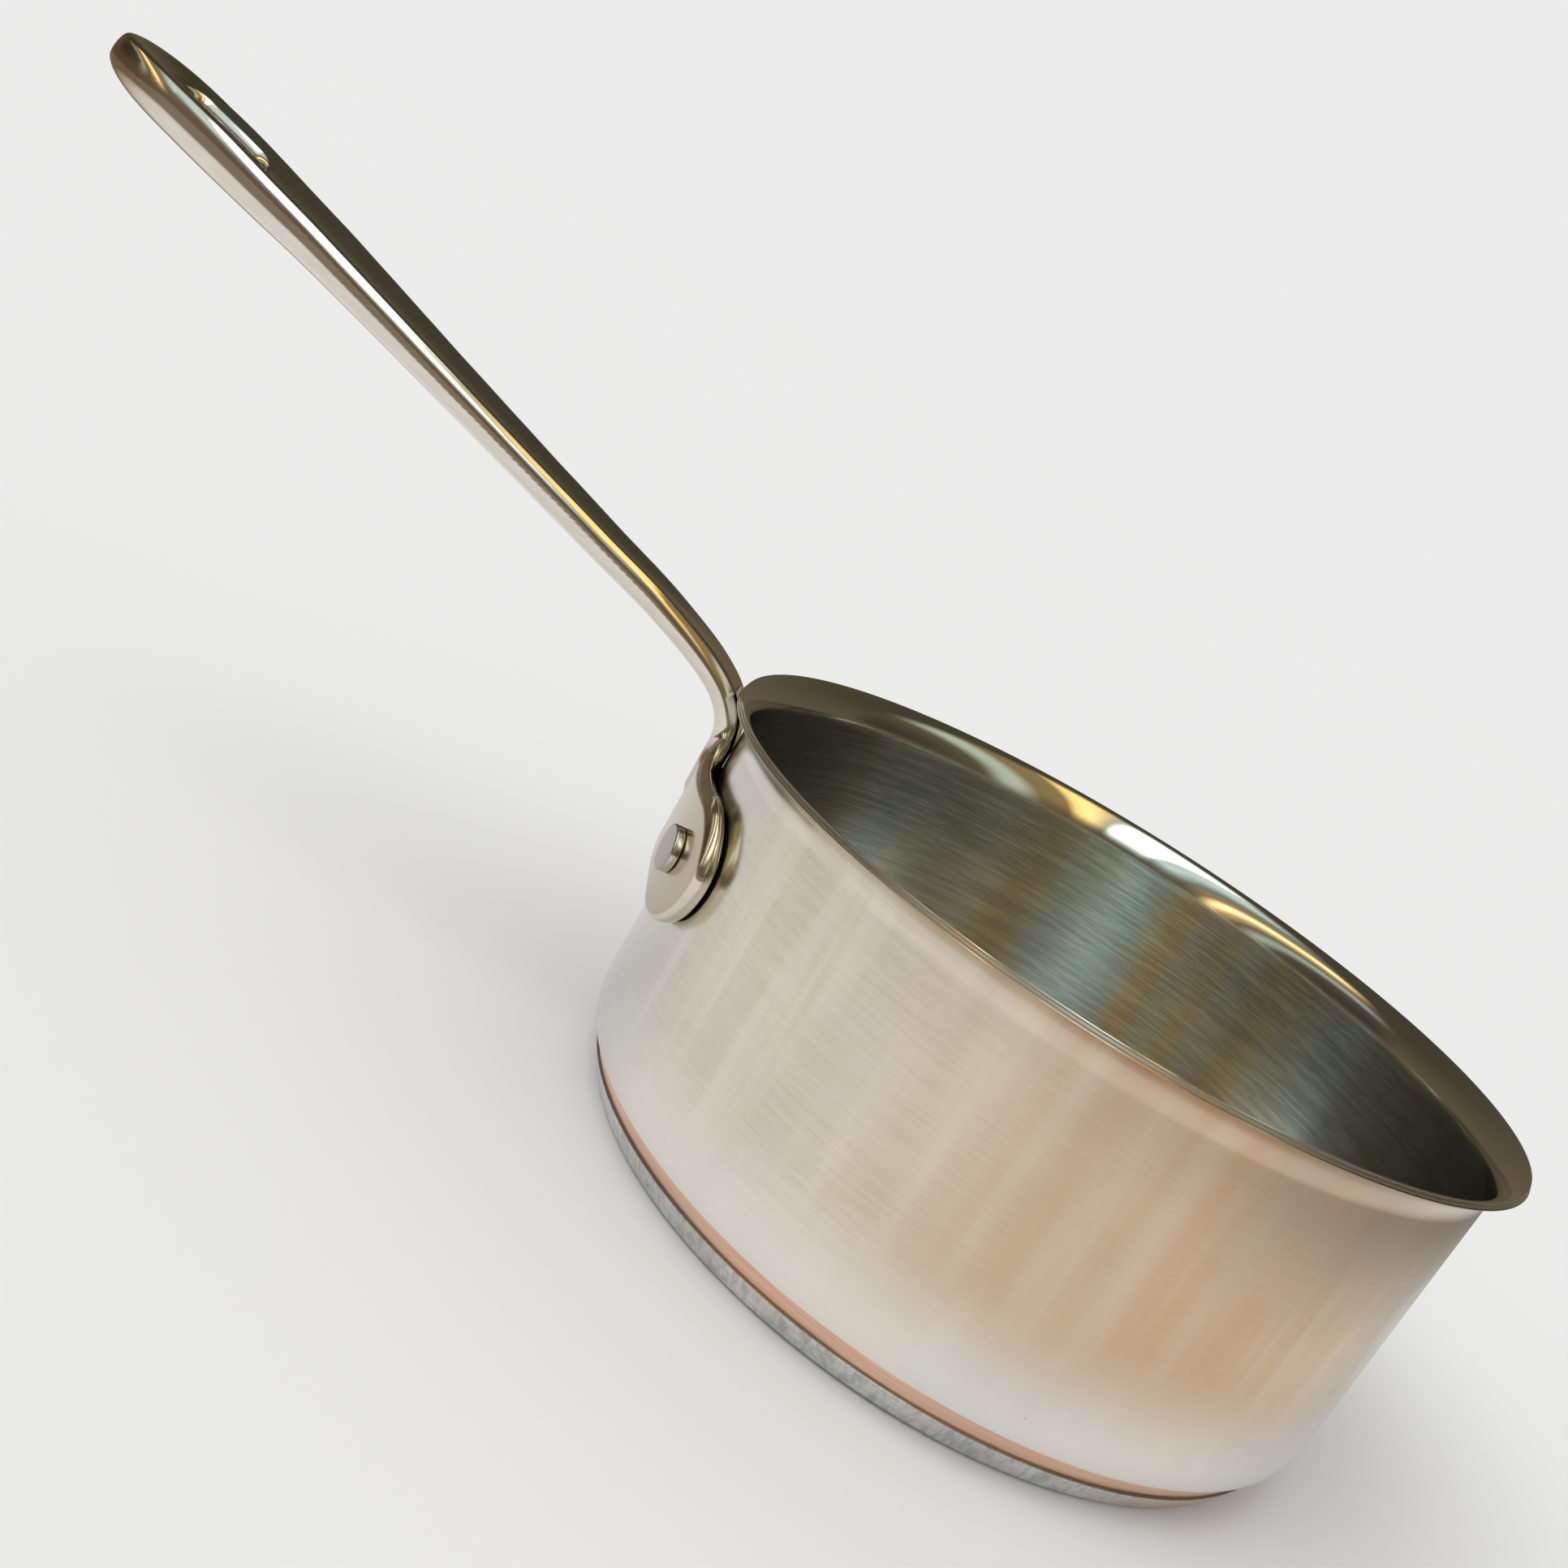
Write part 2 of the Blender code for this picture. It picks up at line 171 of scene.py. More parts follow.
def wall_run(depth):
    lip = [lip_point(turn, depth) for turn in spread(LIP_TURN, 0.0, 26)]
    corner = [corner_point(turn, depth) for turn in spread(0.0, GROOVE_TOP_TURN, 9)]
    return chain(lip + corner)


def base_run(depth):
    foot = [foot_point(turn, depth) for turn in spread(CONE_TURN, math.pi / 2, 12)]
    return chain([cone_point(GROOVE_BOTTOM_HEIGHT, depth)] + foot + [(0.0, depth)], 4.0)


def groove_run(depth):
    """The stretch of the corner that the groove bares, without its first point."""
    return [corner_point(turn, depth) for turn in spread(GROOVE_TOP_TURN, CONE_TURN, 4)[1:]]

def whole_run(depth):
    return wall_run(depth) + chain(groove_run(depth) + base_run(depth))


def inside_run(depth):
    top_radius, top_height = corner_point(CONE_TURN, depth)
    half_turn = (math.pi / 2 - CONE_TURN) / 2
    floor_corner = top_radius - (top_height - depth) * math.tan(CONE_TURN)
    centre_radius = floor_corner - FLOOR_ROUND * math.tan(half_turn)
    centre_height = depth + FLOOR_ROUND
    floor = [
        (centre_radius + FLOOR_ROUND * math.cos(turn), centre_height - FLOOR_ROUND * math.sin(turn))
        for turn in spread(CONE_TURN, math.pi / 2, 12)
    ]
    return wall_run(depth) + chain(groove_run(depth) + floor + [(0.0, depth)], 4.0)


def eased(points, size, closed):
    """Sharp corners of a profile turned into small rounds."""
    count = len(points)
    out = []
    for i, (x, z) in enumerate(points):
        if not closed and i in (0, count - 1):
            out.append((x, z))
            continue
        before = Vector(points[i - 1]) - Vector((x, z))
        after = Vector(points[(i + 1) % count]) - Vector((x, z))
        bend = math.degrees(before.angle(-after, 0.0))
        if bend < 40.0:
            out.append((x, z))
            continue
        reach = min(size, before.length * 0.45, after.length * 0.45)
        start = Vector((x, z)) + before.normalized() * reach
        end = Vector((x, z)) + after.normalized() * reach
        for share in spread(0.0, 1.0, 5):
            one = start.lerp(Vector((x, z)), share)
            two = Vector((x, z)).lerp(end, share)
            out.append(tuple(one.lerp(two, share)))
    return out


def turned(name, points, closed, steps=TURN_STEPS):
    """A mesh of a profile, in millimetres, turned round Z. An open profile starts and ends on Z."""
    rows = np.array(points) * MM
    angles = np.linspace(0.0, 2.0 * math.pi, steps, endpoint=False)
    ring = np.stack((np.cos(angles), np.sin(angles)), -1)
    vertices = []
    starts = []
    for radius, height in rows:
        starts.append((len(vertices), radius < 1e-9))
        if radius < 1e-9:
            vertices.append((0.0, 0.0, height))
        else:
            vertices.extend((radius * c, radius * s, height) for c, s in ring)
    faces = []
    pairs = list(zip(starts, starts[1:]))
    if closed:
        pairs.append((starts[-1], starts[0]))
    for (a, a_pole), (b, b_pole) in pairs:
        for i in range(steps):
            j = (i + 1) % steps
            if a_pole and b_pole:
                continue
            if a_pole:
                faces.append((a, b + i, b + j))
            elif b_pole:
                faces.append((a + i, b, a + j))
            else:
                faces.append((a + i, b + i, b + j, a + j))
    mesh = bpy.data.meshes.new(name)
    mesh.from_pydata(vertices, [], faces)
    mesh.validate()
    mesh.shade_smooth()
    mesh.set_sharp_from_angle(angle=math.radians(35.0))
    item = bpy.data.objects.new(name, mesh)
    bpy.context.scene.collection.objects.link(item)
    return item


def ply(name, outside, inside, ease):
    closed = outside[-1][0] > 0.0
    return turned(name, eased(inside[::-1] + outside, ease, closed), closed)


# The casting, as a field that is negative inside it

def hermite_table():
    """Coefficients of the cubic pieces of the spine and of everything that varies along it."""
    values = STATIONS[:, [0, 1, 3, 4, 5, 6]]
    gaps = np.linalg.norm(np.diff(values[:, :2], axis=0), axis=1)
    along = np.concatenate(([0.0], np.cumsum(gaps)))
    slope = np.radians(STATIONS[:, 2])
    tangents = np.gradient(values, along, axis=0)
    tangents[:, 0] = np.cos(slope)
    tangents[:, 1] = np.sin(slope)
    values = np.column_stack((values, along))
    tangents = np.column_stack((tangents, np.ones(len(along))))
    p0, p1 = values[:-1], values[1:]
    m0, m1 = tangents[:-1] * gaps[:, None], tangents[1:] * gaps[:, None]
    return np.stack((p0, m0, 3 * (p1 - p0) - 2 * m0 - m1, 2 * (p0 - p1) + m0 + m1), 1)


SPINE = hermite_table()
PIECES = len(SPINE)
SPINE_END = float(SPINE[-1].sum(0)[6])


def spine_at(u):
    """Values, first and second derivatives of the place at parameter u."""
    piece = np.clip(np.floor(u).astype(int), 0, PIECES - 1)
    t = (u - piece)[:, None]
    c = SPINE[piece]
    value = c[:, 0] + t * (c[:, 1] + t * (c[:, 2] + t * c[:, 3]))
    first = c[:, 1, :2] + t * (2 * c[:, 2, :2] + 3 * t * c[:, 3, :2])
    second = 2 * c[:, 2, :2] + 6 * t * c[:, 3, :2]
    return value, first, second


SAMPLES_U = np.linspace(0.0, PIECES, PIECES * 30 + 1)
SAMPLES = spine_at(np.minimum(SAMPLES_U, PIECES - 1e-9))[0][:, :2]


def nearest_u(place):
    out = np.empty(len(place))
    for start in range(0, len(place), 20000):
        part = place[start:start + 20000]
        reach = part[:, None, 0] - SAMPLES[None, :, 0]
        height = part[:, None, 1] - SAMPLES[None, :, 1]
        out[start:start + 20000] = SAMPLES_U[(reach ** 2 + height ** 2).argmin(1)]
    return out


def on_spine(place, u):
    """The nearest place on the spine: parameter, height off it, and the section's values there."""
    for _ in range(3):
        value, first, second = spine_at(u)
        off = value[:, :2] - place
        pull = (off * first).sum(1)
        stiff = np.maximum((first * first).sum(1) + (off * second).sum(1), 1e-3)
        u = np.clip(u - np.clip(pull / stiff, -0.2, 0.2), 0.0, PIECES - 1e-9)
    value, first, _ = spine_at(u)
    first = first / np.linalg.norm(first, axis=1)[:, None]
    off = place - value[:, :2]
    rise = off[:, 1] * first[:, 0] - off[:, 0] * first[:, 1]
    beyond = (off * first).sum(1)
    return u, rise, beyond, value


def smooth_max(a, b, k):
    h = np.maximum(0.0, 1.0 - np.abs(a - b) / k)
    return np.maximum(a, b) + h * h * k / 4


def smooth_min(a, b, k):
    return -smooth_max(-a, -b, k)


def stick_field(y, rise, beyond, value):
    half_width, half_thick, groove, form = value[:, 2], value[:, 3], value[:, 4], value[:, 5]
    along = value[:, 6] + beyond
    q = np.abs(y)
    stem = np.hypot(np.maximum(q - (half_width - half_thick), 0.0), rise) - half_thick
    middle = 0.25 * half_thick
    below = half_thick + middle
    above = half_thick - middle + CROWN
    power = SECTION_POWER
    tip = np.maximum(along - (SPINE_END - TIP_LENGTH), 0.0) / TIP_LENGTH
    side = q / half_width
    lift = np.where(rise < middle, (middle - rise) / below, (rise - middle) / above)
    plan = (tip ** power + side ** power) ** (1 / power)
    whole = np.maximum(plan ** power + lift ** power, 1e-9) ** (1 / power)
    reach = np.where(rise < middle, below, above)
    steep = np.sqrt(
        (tip ** (power - 1) / TIP_LENGTH) ** 2
        + (side ** (power - 1) / half_width) ** 2
        + (lift ** (power - 1) / reach) ** 2
    ) * whole ** (1 - power)
    body = (whole - 1.0) / np.maximum(steep, 0.25 / half_width)
    hollow = np.maximum(0.0, 1.0 - (plan / GROOVE_REACH) ** 2) ** GROOVE_POWER
    ending = np.minimum(tip, 1.0)
    top = rise - (half_thick + 1.0 + 0.5 * ending - groove * hollow)
    stick = smooth_max(body, top, RAIL_ROUND * (1.0 - 0.65 * ending))
    field = stem + (stick - stem) * form
    run = (SLOT_END - SLOT_START) / 2 - SLOT_HALF_WIDTH
    slot_middle = SPINE_END - (STATIONS[-1, 0] - (SLOT_START + SLOT_END) / 2) * SLOT_STRETCH
    slot = np.hypot(np.maximum(np.abs(along - slot_middle) - run, 0.0), q) - SLOT_HALF_WIDTH
    field = smooth_max(field, -slot, SLOT_ROUND)
    return np.maximum(field, -along)


def flange_field(reach, y, z):
    """The two-eared plate and the foot of the stem, as one outline bent round the wall."""
    radius = np.hypot(reach, y)
    across = np.abs(np.arctan2(y, reach)) * FLANGE_INNER
    ear = np.hypot(across - EAR_ACROSS, z - RIVET_HEIGHT) - EAR_RADIUS
    bow = np.maximum(0.0, 1.0 - (across / EAR_ACROSS) ** 2)
    high = RIVET_HEIGHT + EAR_RADIUS - 0.8 * bow
    low = RIVET_HEIGHT - EAR_RADIUS + 5.5 * bow
    web = np.maximum(np.maximum(z - high, low - z), across - EAR_ACROSS)
    outline = smooth_min(ear, web, 0.8)
    strip = np.maximum(across - STEM_HALF_WIDTH, np.maximum(z - STEM_TOP, RIVET_HEIGHT - z))
    outline = smooth_min(outline, strip, 9.0)
    middle = (FLANGE_INNER + FLANGE_OUTER) / 2
    depth = (radius - middle) / (FLANGE_THICKNESS / 2)
    stem_share = np.clip((z - 68.0) / 12.0, 0.0, 1.0)
    edge = outline + (1.0 + 2.0 * stem_share) * depth ** 2
    face = np.abs(radius - middle) - FLANGE_THICKNESS / 2
    return smooth_max(edge * 0.8, face, 0.9)


def join_field(reach, y, z, stick):
    both = smooth_min(stick, flange_field(reach, y, z), 3.0)
    return smooth_max(both, FLANGE_INNER - np.hypot(reach, y), 0.5)


def cast_field(points, u):
    u, rise, beyond, value = on_spine(points[:, [0, 2]], u)
    stick = stick_field(points[:, 1], rise, beyond, value)
    return join_field(points[:, 0], points[:, 1], points[:, 2], stick), u


def cast_slope(points, u):
    step = 0.02
    slope = np.empty_like(points)
    for axis in range(3):
        move = np.zeros(3)
        move[axis] = step
        change = cast_field(points + move, u)[0] - cast_field(points - move, u)[0]
        slope[:, axis] = change / (2 * step)
    return slope


def net_surface(field, low, step):
    """A quad mesh through the zero level of a grid of values: one vertex in each cell it crosses."""
    inside = field < 0.0
    cells = tuple(n - 1 for n in field.shape)
    total = np.zeros(cells, np.int8)
    for dx in (0, 1):
        for dy in (0, 1):
            for dz in (0, 1):
                total += inside[dx:dx + cells[0], dy:dy + cells[1], dz:dz + cells[2]]
    active = (total > 0) & (total < 8)
    index = -np.ones(cells, np.int64)
    where = np.argwhere(active)
    index[active] = np.arange(len(where))
    place = np.zeros((len(where), 3))
    hits = np.zeros(len(where))
    corners = [(dx, dy, dz) for dx in (0, 1) for dy in (0, 1) for dz in (0, 1)]
    for one in corners:
        for axis in range(3):
            if one[axis]:
                continue
            two = list(one)
            two[axis] = 1
            a = field[tuple((where + one).T)]
            b = field[tuple((where + two).T)]
            cross = (a < 0) != (b < 0)
            share = np.where(cross, a / np.where(cross, a - b, 1.0), 0.0)
            spot = np.tile(np.array(one, float), (len(where), 1))
            spot[:, axis] = share
            place += spot * cross[:, None]
            hits += cross
    place = (where + place / hits[:, None]) * step + low
    faces = []
    for axis in range(3):
        other = [k for k in range(3) if k != axis]
        first = [slice(1, -1)] * 3
        first[axis] = slice(0, -1)
        second = list(first)
        second[axis] = slice(1, None)
        a = inside[tuple(first)]
        b = inside[tuple(second)]
        edge = np.argwhere(a != b)
        start = edge + 1
        start[:, axis] -= 1
        flip = a[tuple(edge.T)]
        ring = []
        for d0, d1 in ((-1, -1), (0, -1), (0, 0), (-1, 0)):
            cell = start.copy()
            cell[:, other[0]] += d0
            cell[:, other[1]] += d1
            ring.append(index[tuple(cell.T)])
        quad = np.stack(ring, 1)
        turn = flip if axis != 1 else ~flip
        quad = np.where(turn[:, None], quad, quad[:, ::-1])
        faces.append(quad)
    return place, np.concatenate(faces)


def relaxed(points, faces):
    """Each vertex at the mean of its neighbours."""
    total = np.zeros_like(points)
    count = np.zeros(len(points))
    for k in range(4):
        a = faces[:, k]
        b = faces[:, (k + 1) % 4]
        np.add.at(total, a, points[b])
        np.add.at(total, b, points[a])
        np.add.at(count, a, 1)
        np.add.at(count, b, 1)
    return total / count[:, None]


def cast_handle(name, step):
    low = np.array((86.0, -57.0, 44.0))
    high = np.array((316.0, 57.0, 160.0))
    shape = ((high - low) / step).astype(int) + 1
    axes = [low[k] + np.arange(shape[k]) * step for k in range(3)]
    reach, height = (grid.ravel() for grid in np.meshgrid(axes[0], axes[2], indexing="ij"))
    place = np.stack((reach, height), 1)
    _, rise, beyond, value = on_spine(place, nearest_u(place))
    field = np.ones(shape, np.float32)
    root = (reach < 116.0) & (height < 92.0)
    for k, y in enumerate(axes[1]):
        here = slice(None) if abs(y) < 17.0 else root
        across = np.full(len(reach[here]), y)
        stick = stick_field(across, rise[here], beyond[here], value[here])
        level = np.ones(len(reach), np.float32)
        level[here] = join_field(reach[here], across, height[here], stick)
        field[:, k, :] = level.reshape(shape[0], shape[2])
    points, faces = net_surface(field, low, step)
    u = nearest_u(points[:, [0, 2]])
    for turn in range(5):
        if turn in (1, 2, 3):
            points = points * 0.5 + relaxed(points, faces) * 0.5
        level, u = cast_field(points, u)
        slope = cast_slope(points, u)
        points = points - slope * (level / np.maximum((slope * slope).sum(1), 0.2))[:, None]
    normals = cast_slope(points, u)
    normals /= np.linalg.norm(normals, axis=1)[:, None]
    points = points * (-MM, -MM, MM)
    normals = normals * (-1.0, -1.0, 1.0)
    mesh = bpy.data.meshes.new(name)
    mesh.from_pydata(points.tolist(), [], faces.tolist())
    mesh.validate()
    mesh.shade_smooth()
    mesh.normals_split_custom_set_from_vertices(normals.tolist())
    item = bpy.data.objects.new(name, mesh)
    bpy.context.scene.collection.objects.link(item)
    return item


def rivet(name, side):
    """Turned on its own axis, then laid through the flange and the wall."""
    outer_face = FLANGE_OUTER + 0.02
    inner_face = WALL_RADIUS - WALL_THICKNESS - 0.05
    top = outer_face + OUTER_HEAD_HEIGHT
    dome = [
        (INNER_HEAD_RADIUS * math.cos(turn), inner_face - INNER_HEAD_HEIGHT * math.sin(turn))
        for turn in spread(0.0, math.pi / 2, 14)[:-1]
    ]
    points = [(0.0, top + 0.02), (2.6, top + 0.015), (OUTER_HEAD_RADIUS, top - 0.05)]
    points += [(OUTER_HEAD_RADIUS, outer_face), (SHANK_RADIUS, outer_face), (SHANK_RADIUS, inner_face)]
    points += dome + [(0.0, inner_face - INNER_HEAD_HEIGHT)]
    item = turned(name, eased(points, 0.45, False), False, 96)
    angle = math.pi - side * RIVET_ANGLE
    lay = Matrix.Translation((0.0, 0.0, RIVET_HEIGHT * MM))
    lay = lay @ Matrix.Rotation(angle, 4, "Z") @ Matrix.Rotation(math.pi / 2, 4, "Y")
    item.data.transform(lay)
    return item


# Materials

class Nodes:
    """Short calls that add nodes to one material or world."""

    def __init__(self, tree):
        self.tree = tree

    def add(self, kind, **settings):
        node = self.tree.nodes.new(kind)
        for key, value in settings.items():
            setattr(node, key, value)
        return node

    def link(self, source, target):
        self.tree.links.new(source, target)

    def feed(self, socket, value):
        if isinstance(value, bpy.types.NodeSocket):
            self.link(value, socket)
        else:
            socket.default_value = value

    def math(self, operation, a, b=0.0, c=0.0):
        node = self.add("ShaderNodeMath", operation=operation)
        for socket, value in zip(node.inputs, (a, b, c)):
            self.feed(socket, value)
        return node.outputs[0]

    def times(self, a, b):
        return self.math("MULTIPLY", a, b)

    def plus(self, a, b):
        return self.math("ADD", a, b)

    def remap(self, value, low, high, to_low, to_high, kind="LINEAR"):
        node = self.add("ShaderNodeMapRange", clamp=True, interpolation_type=kind)
        keys = ("Value", "From Min", "From Max", "To Min", "To Max")
        for key, number in zip(keys, (value, low, high, to_low, to_high)):
            self.feed(node.inputs[key], number)
        return node.outputs["Result"]

    def smooth(self, value, low, high, to_low=0.0, to_high=1.0):
        return self.remap(value, low, high, to_low, to_high, "SMOOTHSTEP")

    def mix(self, share, a, b, blend="MIX"):
        node = self.add("ShaderNodeMix", data_type="RGBA", blend_type=blend)
        self.feed(node.inputs[0], share)
        self.feed(node.inputs[6], (*a, 1.0) if isinstance(a, tuple) else a)
        self.feed(node.inputs[7], (*b, 1.0) if isinstance(b, tuple) else b)
        return node.outputs[2]

    def noise(self, vector, scale, detail=2.0, roughness=0.5):
        node = self.add("ShaderNodeTexNoise")
        self.link(vector, node.inputs["Vector"])
        node.inputs["Scale"].default_value = scale
        node.inputs["Detail"].default_value = detail
        node.inputs["Roughness"].default_value = roughness
        return node.outputs["Fac"]

    def vector(self, x, y, z):
        node = self.add("ShaderNodeCombineXYZ")
        for socket, value in zip(node.inputs, (x, y, z)):
            self.feed(socket, value)
        return node.outputs[0]

    def bump(self, height, strength, distance, normal=None):
        node = self.add("ShaderNodeBump")
        node.inputs["Strength"].default_value = strength
        node.inputs["Distance"].default_value = distance
        self.link(height, node.inputs["Height"])
        if normal is not None:
            self.link(normal, node.inputs["Normal"])
        return node.outputs["Normal"]


def new_metal(name, anisotropic=0.0):
    material = bpy.data.materials.new(name)
    material.use_nodes = True
    nodes = Nodes(material.node_tree)
    shader = material.node_tree.nodes["Principled BSDF"]
    shader.inputs["Metallic"].default_value = 1.0
    shader.inputs["Anisotropic"].default_value = anisotropic
    if anisotropic:
        tangent = nodes.add("ShaderNodeTangent", direction_type="RADIAL", axis="Z")
        nodes.link(tangent.outputs[0], shader.inputs["Tangent"])
        shader.inputs["Anisotropic Rotation"].default_value = 0.25
    where = nodes.add("ShaderNodeTexCoord").outputs["Object"]
    return material, nodes, shader, where


def round_pan(nodes, where):
    """Where a point is on the turned bowl: unit direction x and y, radius, height, in metres."""
    split = nodes.add("ShaderNodeSeparateXYZ")
    nodes.link(where, split.inputs[0])
    x, y, z = split.outputs
    radius = nodes.math("SQRT", nodes.plus(nodes.times(x, x), nodes.times(y, y)))
    safe = nodes.math("MAXIMUM", radius, 0.001)
    return nodes.math("DIVIDE", x, safe), nodes.math("DIVIDE", y, safe), radius, z


def brushed(nodes, turn_x, turn_y, radius, height, round_scale, cross_scale):
    """Vector for noise that is long round the pan and short along its profile."""
    profile = nodes.plus(radius, height)
    return nodes.vector(
        nodes.times(turn_x, round_scale),
        nodes.times(turn_y, round_scale),
        nodes.times(profile, cross_scale),
    )


def facing(nodes, turn_x, turn_y, azimuth, inner, outer):
    """1 on the side of the pan at that azimuth, fading to 0 outer degrees away from it."""
    angle = math.radians(azimuth)
    dot = nodes.plus(nodes.times(turn_x, math.cos(angle)), nodes.times(turn_y, math.sin(angle)))
    return nodes.smooth(dot, math.cos(math.radians(outer)), math.cos(math.radians(inner)))


def surface_marks(nodes, where):
    """Brushing (fine, coarse), streaks along the wall, smudges and specks, each from 0 to 1."""
    turn_x, turn_y, radius, height = round_pan(nodes, where)
    fine = nodes.noise(brushed(nodes, turn_x, turn_y, radius, height, 14.0, 2300.0), 1.0, 4.0, 0.65)
    coarse = nodes.noise(brushed(nodes, turn_x, turn_y, radius, height, 5.0, 1100.0), 1.0, 3.0, 0.6)
    streak = nodes.noise(brushed(nodes, turn_x, turn_y, radius, height, 11.0, 6.0), 1.0, 3.0, 0.55)
    smudge = nodes.noise(where, 38.0, 5.0, 0.62)
    speck = nodes.noise(where, 520.0, 2.0, 0.5)
    return (turn_x, turn_y, radius, height), fine, coarse, streak, smudge, speck


def outside_metal(name):
    """The outer wall: semi-bright, brushed round, with painted reflections and painted shade put in by
    azimuth (an amber area, a dark area under the lip, a darker side and a cooler, greyer side) and a pale
    painted reflection above the band put in by height.
    """
    material, nodes, shader, where = new_metal(name, 0.6)
    (turn_x, turn_y, _, height), fine, coarse, streak, smudge, speck = surface_marks(nodes, where)
    tone = nodes.plus(nodes.times(coarse, 0.5), nodes.times(fine, 0.5))
    colour = nodes.mix(nodes.smooth(tone, 0.35, 0.65), (0.70, 0.62, 0.505), (0.80, 0.72, 0.60))
    cool = nodes.noise(where, 16.0, 4.0, 0.6)
    colour = nodes.mix(nodes.smooth(cool, 0.48, 0.70, 0.0, 0.55), colour, (0.72, 0.665, 0.62))
    colour = nodes.mix(nodes.smooth(streak, 0.48, 0.75, 0.0, 0.6), colour, (0.90, 0.835, 0.73))
    # Painted reflection: an amber area toward azimuth -64 degrees, broken up by the streaks.
    amber = facing(nodes, turn_x, turn_y, -64.0, 8.0, 56.0)
    amber = nodes.times(amber, nodes.smooth(streak, 0.34, 0.62, 1.0, 0.7))
    colour = nodes.mix(nodes.times(amber, 0.9), colour, (0.66, 0.46, 0.27))
    # Painted shade: a dark area toward azimuth -50 degrees, growing toward the top of the wall under the lip.
    dark = facing(nodes, turn_x, turn_y, -50.0, 6.0, 30.0)
    dark = nodes.times(dark, nodes.smooth(height, 0.050, 0.088))
    dark = nodes.times(dark, nodes.smooth(cool, 0.3, 0.6, 0.4, 0.8))
    colour = nodes.mix(dark, colour, (0.50, 0.42, 0.34))
    # Painted shade: the side toward azimuth -22 degrees made darker.
    right = facing(nodes, turn_x, turn_y, -22.0, 5.0, 26.0)
    colour = nodes.mix(nodes.times(right, 0.75), colour, (0.46, 0.40, 0.33))
    # Painted reflection: a pale zone low on the wall, just above the band.
    uneven = nodes.plus(height, nodes.times(streak, 0.012))
    low = nodes.smooth(uneven, 0.018, 0.047, 1.0, 0.0)
    pale = nodes.mix(nodes.smooth(cool, 0.4, 0.6), (0.93, 0.91, 0.85), (0.87, 0.89, 0.89))
    colour = nodes.mix(nodes.times(low, 0.88), colour, pale)
    # Painted reflection: a cooler, greyer side toward azimuth 186 degrees.
    left = facing(nodes, turn_x, turn_y, 186.0, 5.0, 34.0)
    colour = nodes.mix(nodes.times(left, 0.6), colour, (0.60, 0.63, 0.64))
    spots = nodes.smooth(speck, 0.75, 0.80, 0.0, 0.35)
    colour = nodes.mix(spots, colour, (0.34, 0.29, 0.22))
    rough = nodes.remap(fine, 0.3, 0.7, 0.19, 0.25)
    rough = nodes.plus(rough, nodes.remap(smudge, 0.4, 0.75, -0.02, 0.07))
    nodes.link(colour, shader.inputs["Base Color"])
    nodes.link(rough, shader.inputs["Roughness"])
    relief = nodes.plus(fine, nodes.times(coarse, 0.8))
    nodes.link(nodes.bump(relief, 1.0, 0.0000020), shader.inputs["Normal"])
    return material


def base_metal(name):
    """The base skin: duller and more worn than the wall, with coarser brushing and rubbed patches."""
    material, nodes, shader, where = new_metal(name, 0.45)
    (turn_x, turn_y, radius, height), fine, coarse, _, smudge, speck = surface_marks(nodes, where)
    tone = nodes.plus(nodes.times(coarse, 0.6), nodes.times(fine, 0.4))
    colour = nodes.mix(nodes.smooth(tone, 0.3, 0.7), (0.66, 0.67, 0.66), (0.90, 0.91, 0.89))
    colour = nodes.mix(nodes.smooth(smudge, 0.42, 0.68, 0.0, 0.55), colour, (0.56, 0.57, 0.55))
    rub = nodes.noise(brushed(nodes, turn_x, turn_y, radius, height, 60.0, 160.0), 1.0, 4.0, 0.7)
    colour = nodes.mix(nodes.smooth(rub, 0.42, 0.66, 0.0, 0.7), colour, (0.44, 0.46, 0.46))
    # Painted reflection: a warm amber tint toward azimuth -25 degrees.
    amber = facing(nodes, turn_x, turn_y, -25.0, 10.0, 42.0)
    colour = nodes.mix(nodes.times(amber, 0.7), colour, (0.72, 0.53, 0.33))
    spots = nodes.smooth(speck, 0.70, 0.78, 0.0, 0.6)
    colour = nodes.mix(spots, colour, (0.13, 0.12, 0.10))
    rough = nodes.remap(coarse, 0.3, 0.7, 0.28, 0.40)
    rough = nodes.plus(rough, nodes.remap(smudge, 0.4, 0.75, -0.02, 0.08))
    nodes.link(colour, shader.inputs["Base Color"])
    nodes.link(rough, shader.inputs["Roughness"])
    relief = nodes.plus(fine, nodes.times(coarse, 2.0))
    nodes.link(nodes.bump(relief, 1.0, 0.000006), shader.inputs["Normal"])
    return material


# Fixed tints of the lining, in place of the coloured reflections that the photo shows:
# azimuth, inner and outer half angle in degrees, colour, strength
AMBER = (1.0, 0.78, 0.46)
TEAL = (0.80, 0.95, 0.96)
DUSK = (0.42, 0.41, 0.42)
LINING_TINTS = (
    (0.0, 14.0, 44.0, DUSK, 0.75),
    (165.0, 8.0, 38.0, DUSK, 0.75),
    (119.0, 1.0, 9.0, TEAL, 0.8),
    (95.0, 0.3, 6.5, AMBER, 0.85),
    (79.0, 4.0, 13.0, TEAL, 0.8),
    (69.0, 0.1, 3.2, AMBER, 0.85),
    (60.0, 0.1, 2.4, AMBER, 0.7),
    (49.0, 0.2, 4.4, AMBER, 0.85),
    (36.0, 2.0, 8.0, TEAL, 0.6),
    (238.0, 1.5, 6.0, AMBER, 0.6),
    (262.0, 5.0, 15.0, TEAL, 0.6),
    (300.0, 1.5, 5.0, AMBER, 0.6),
)


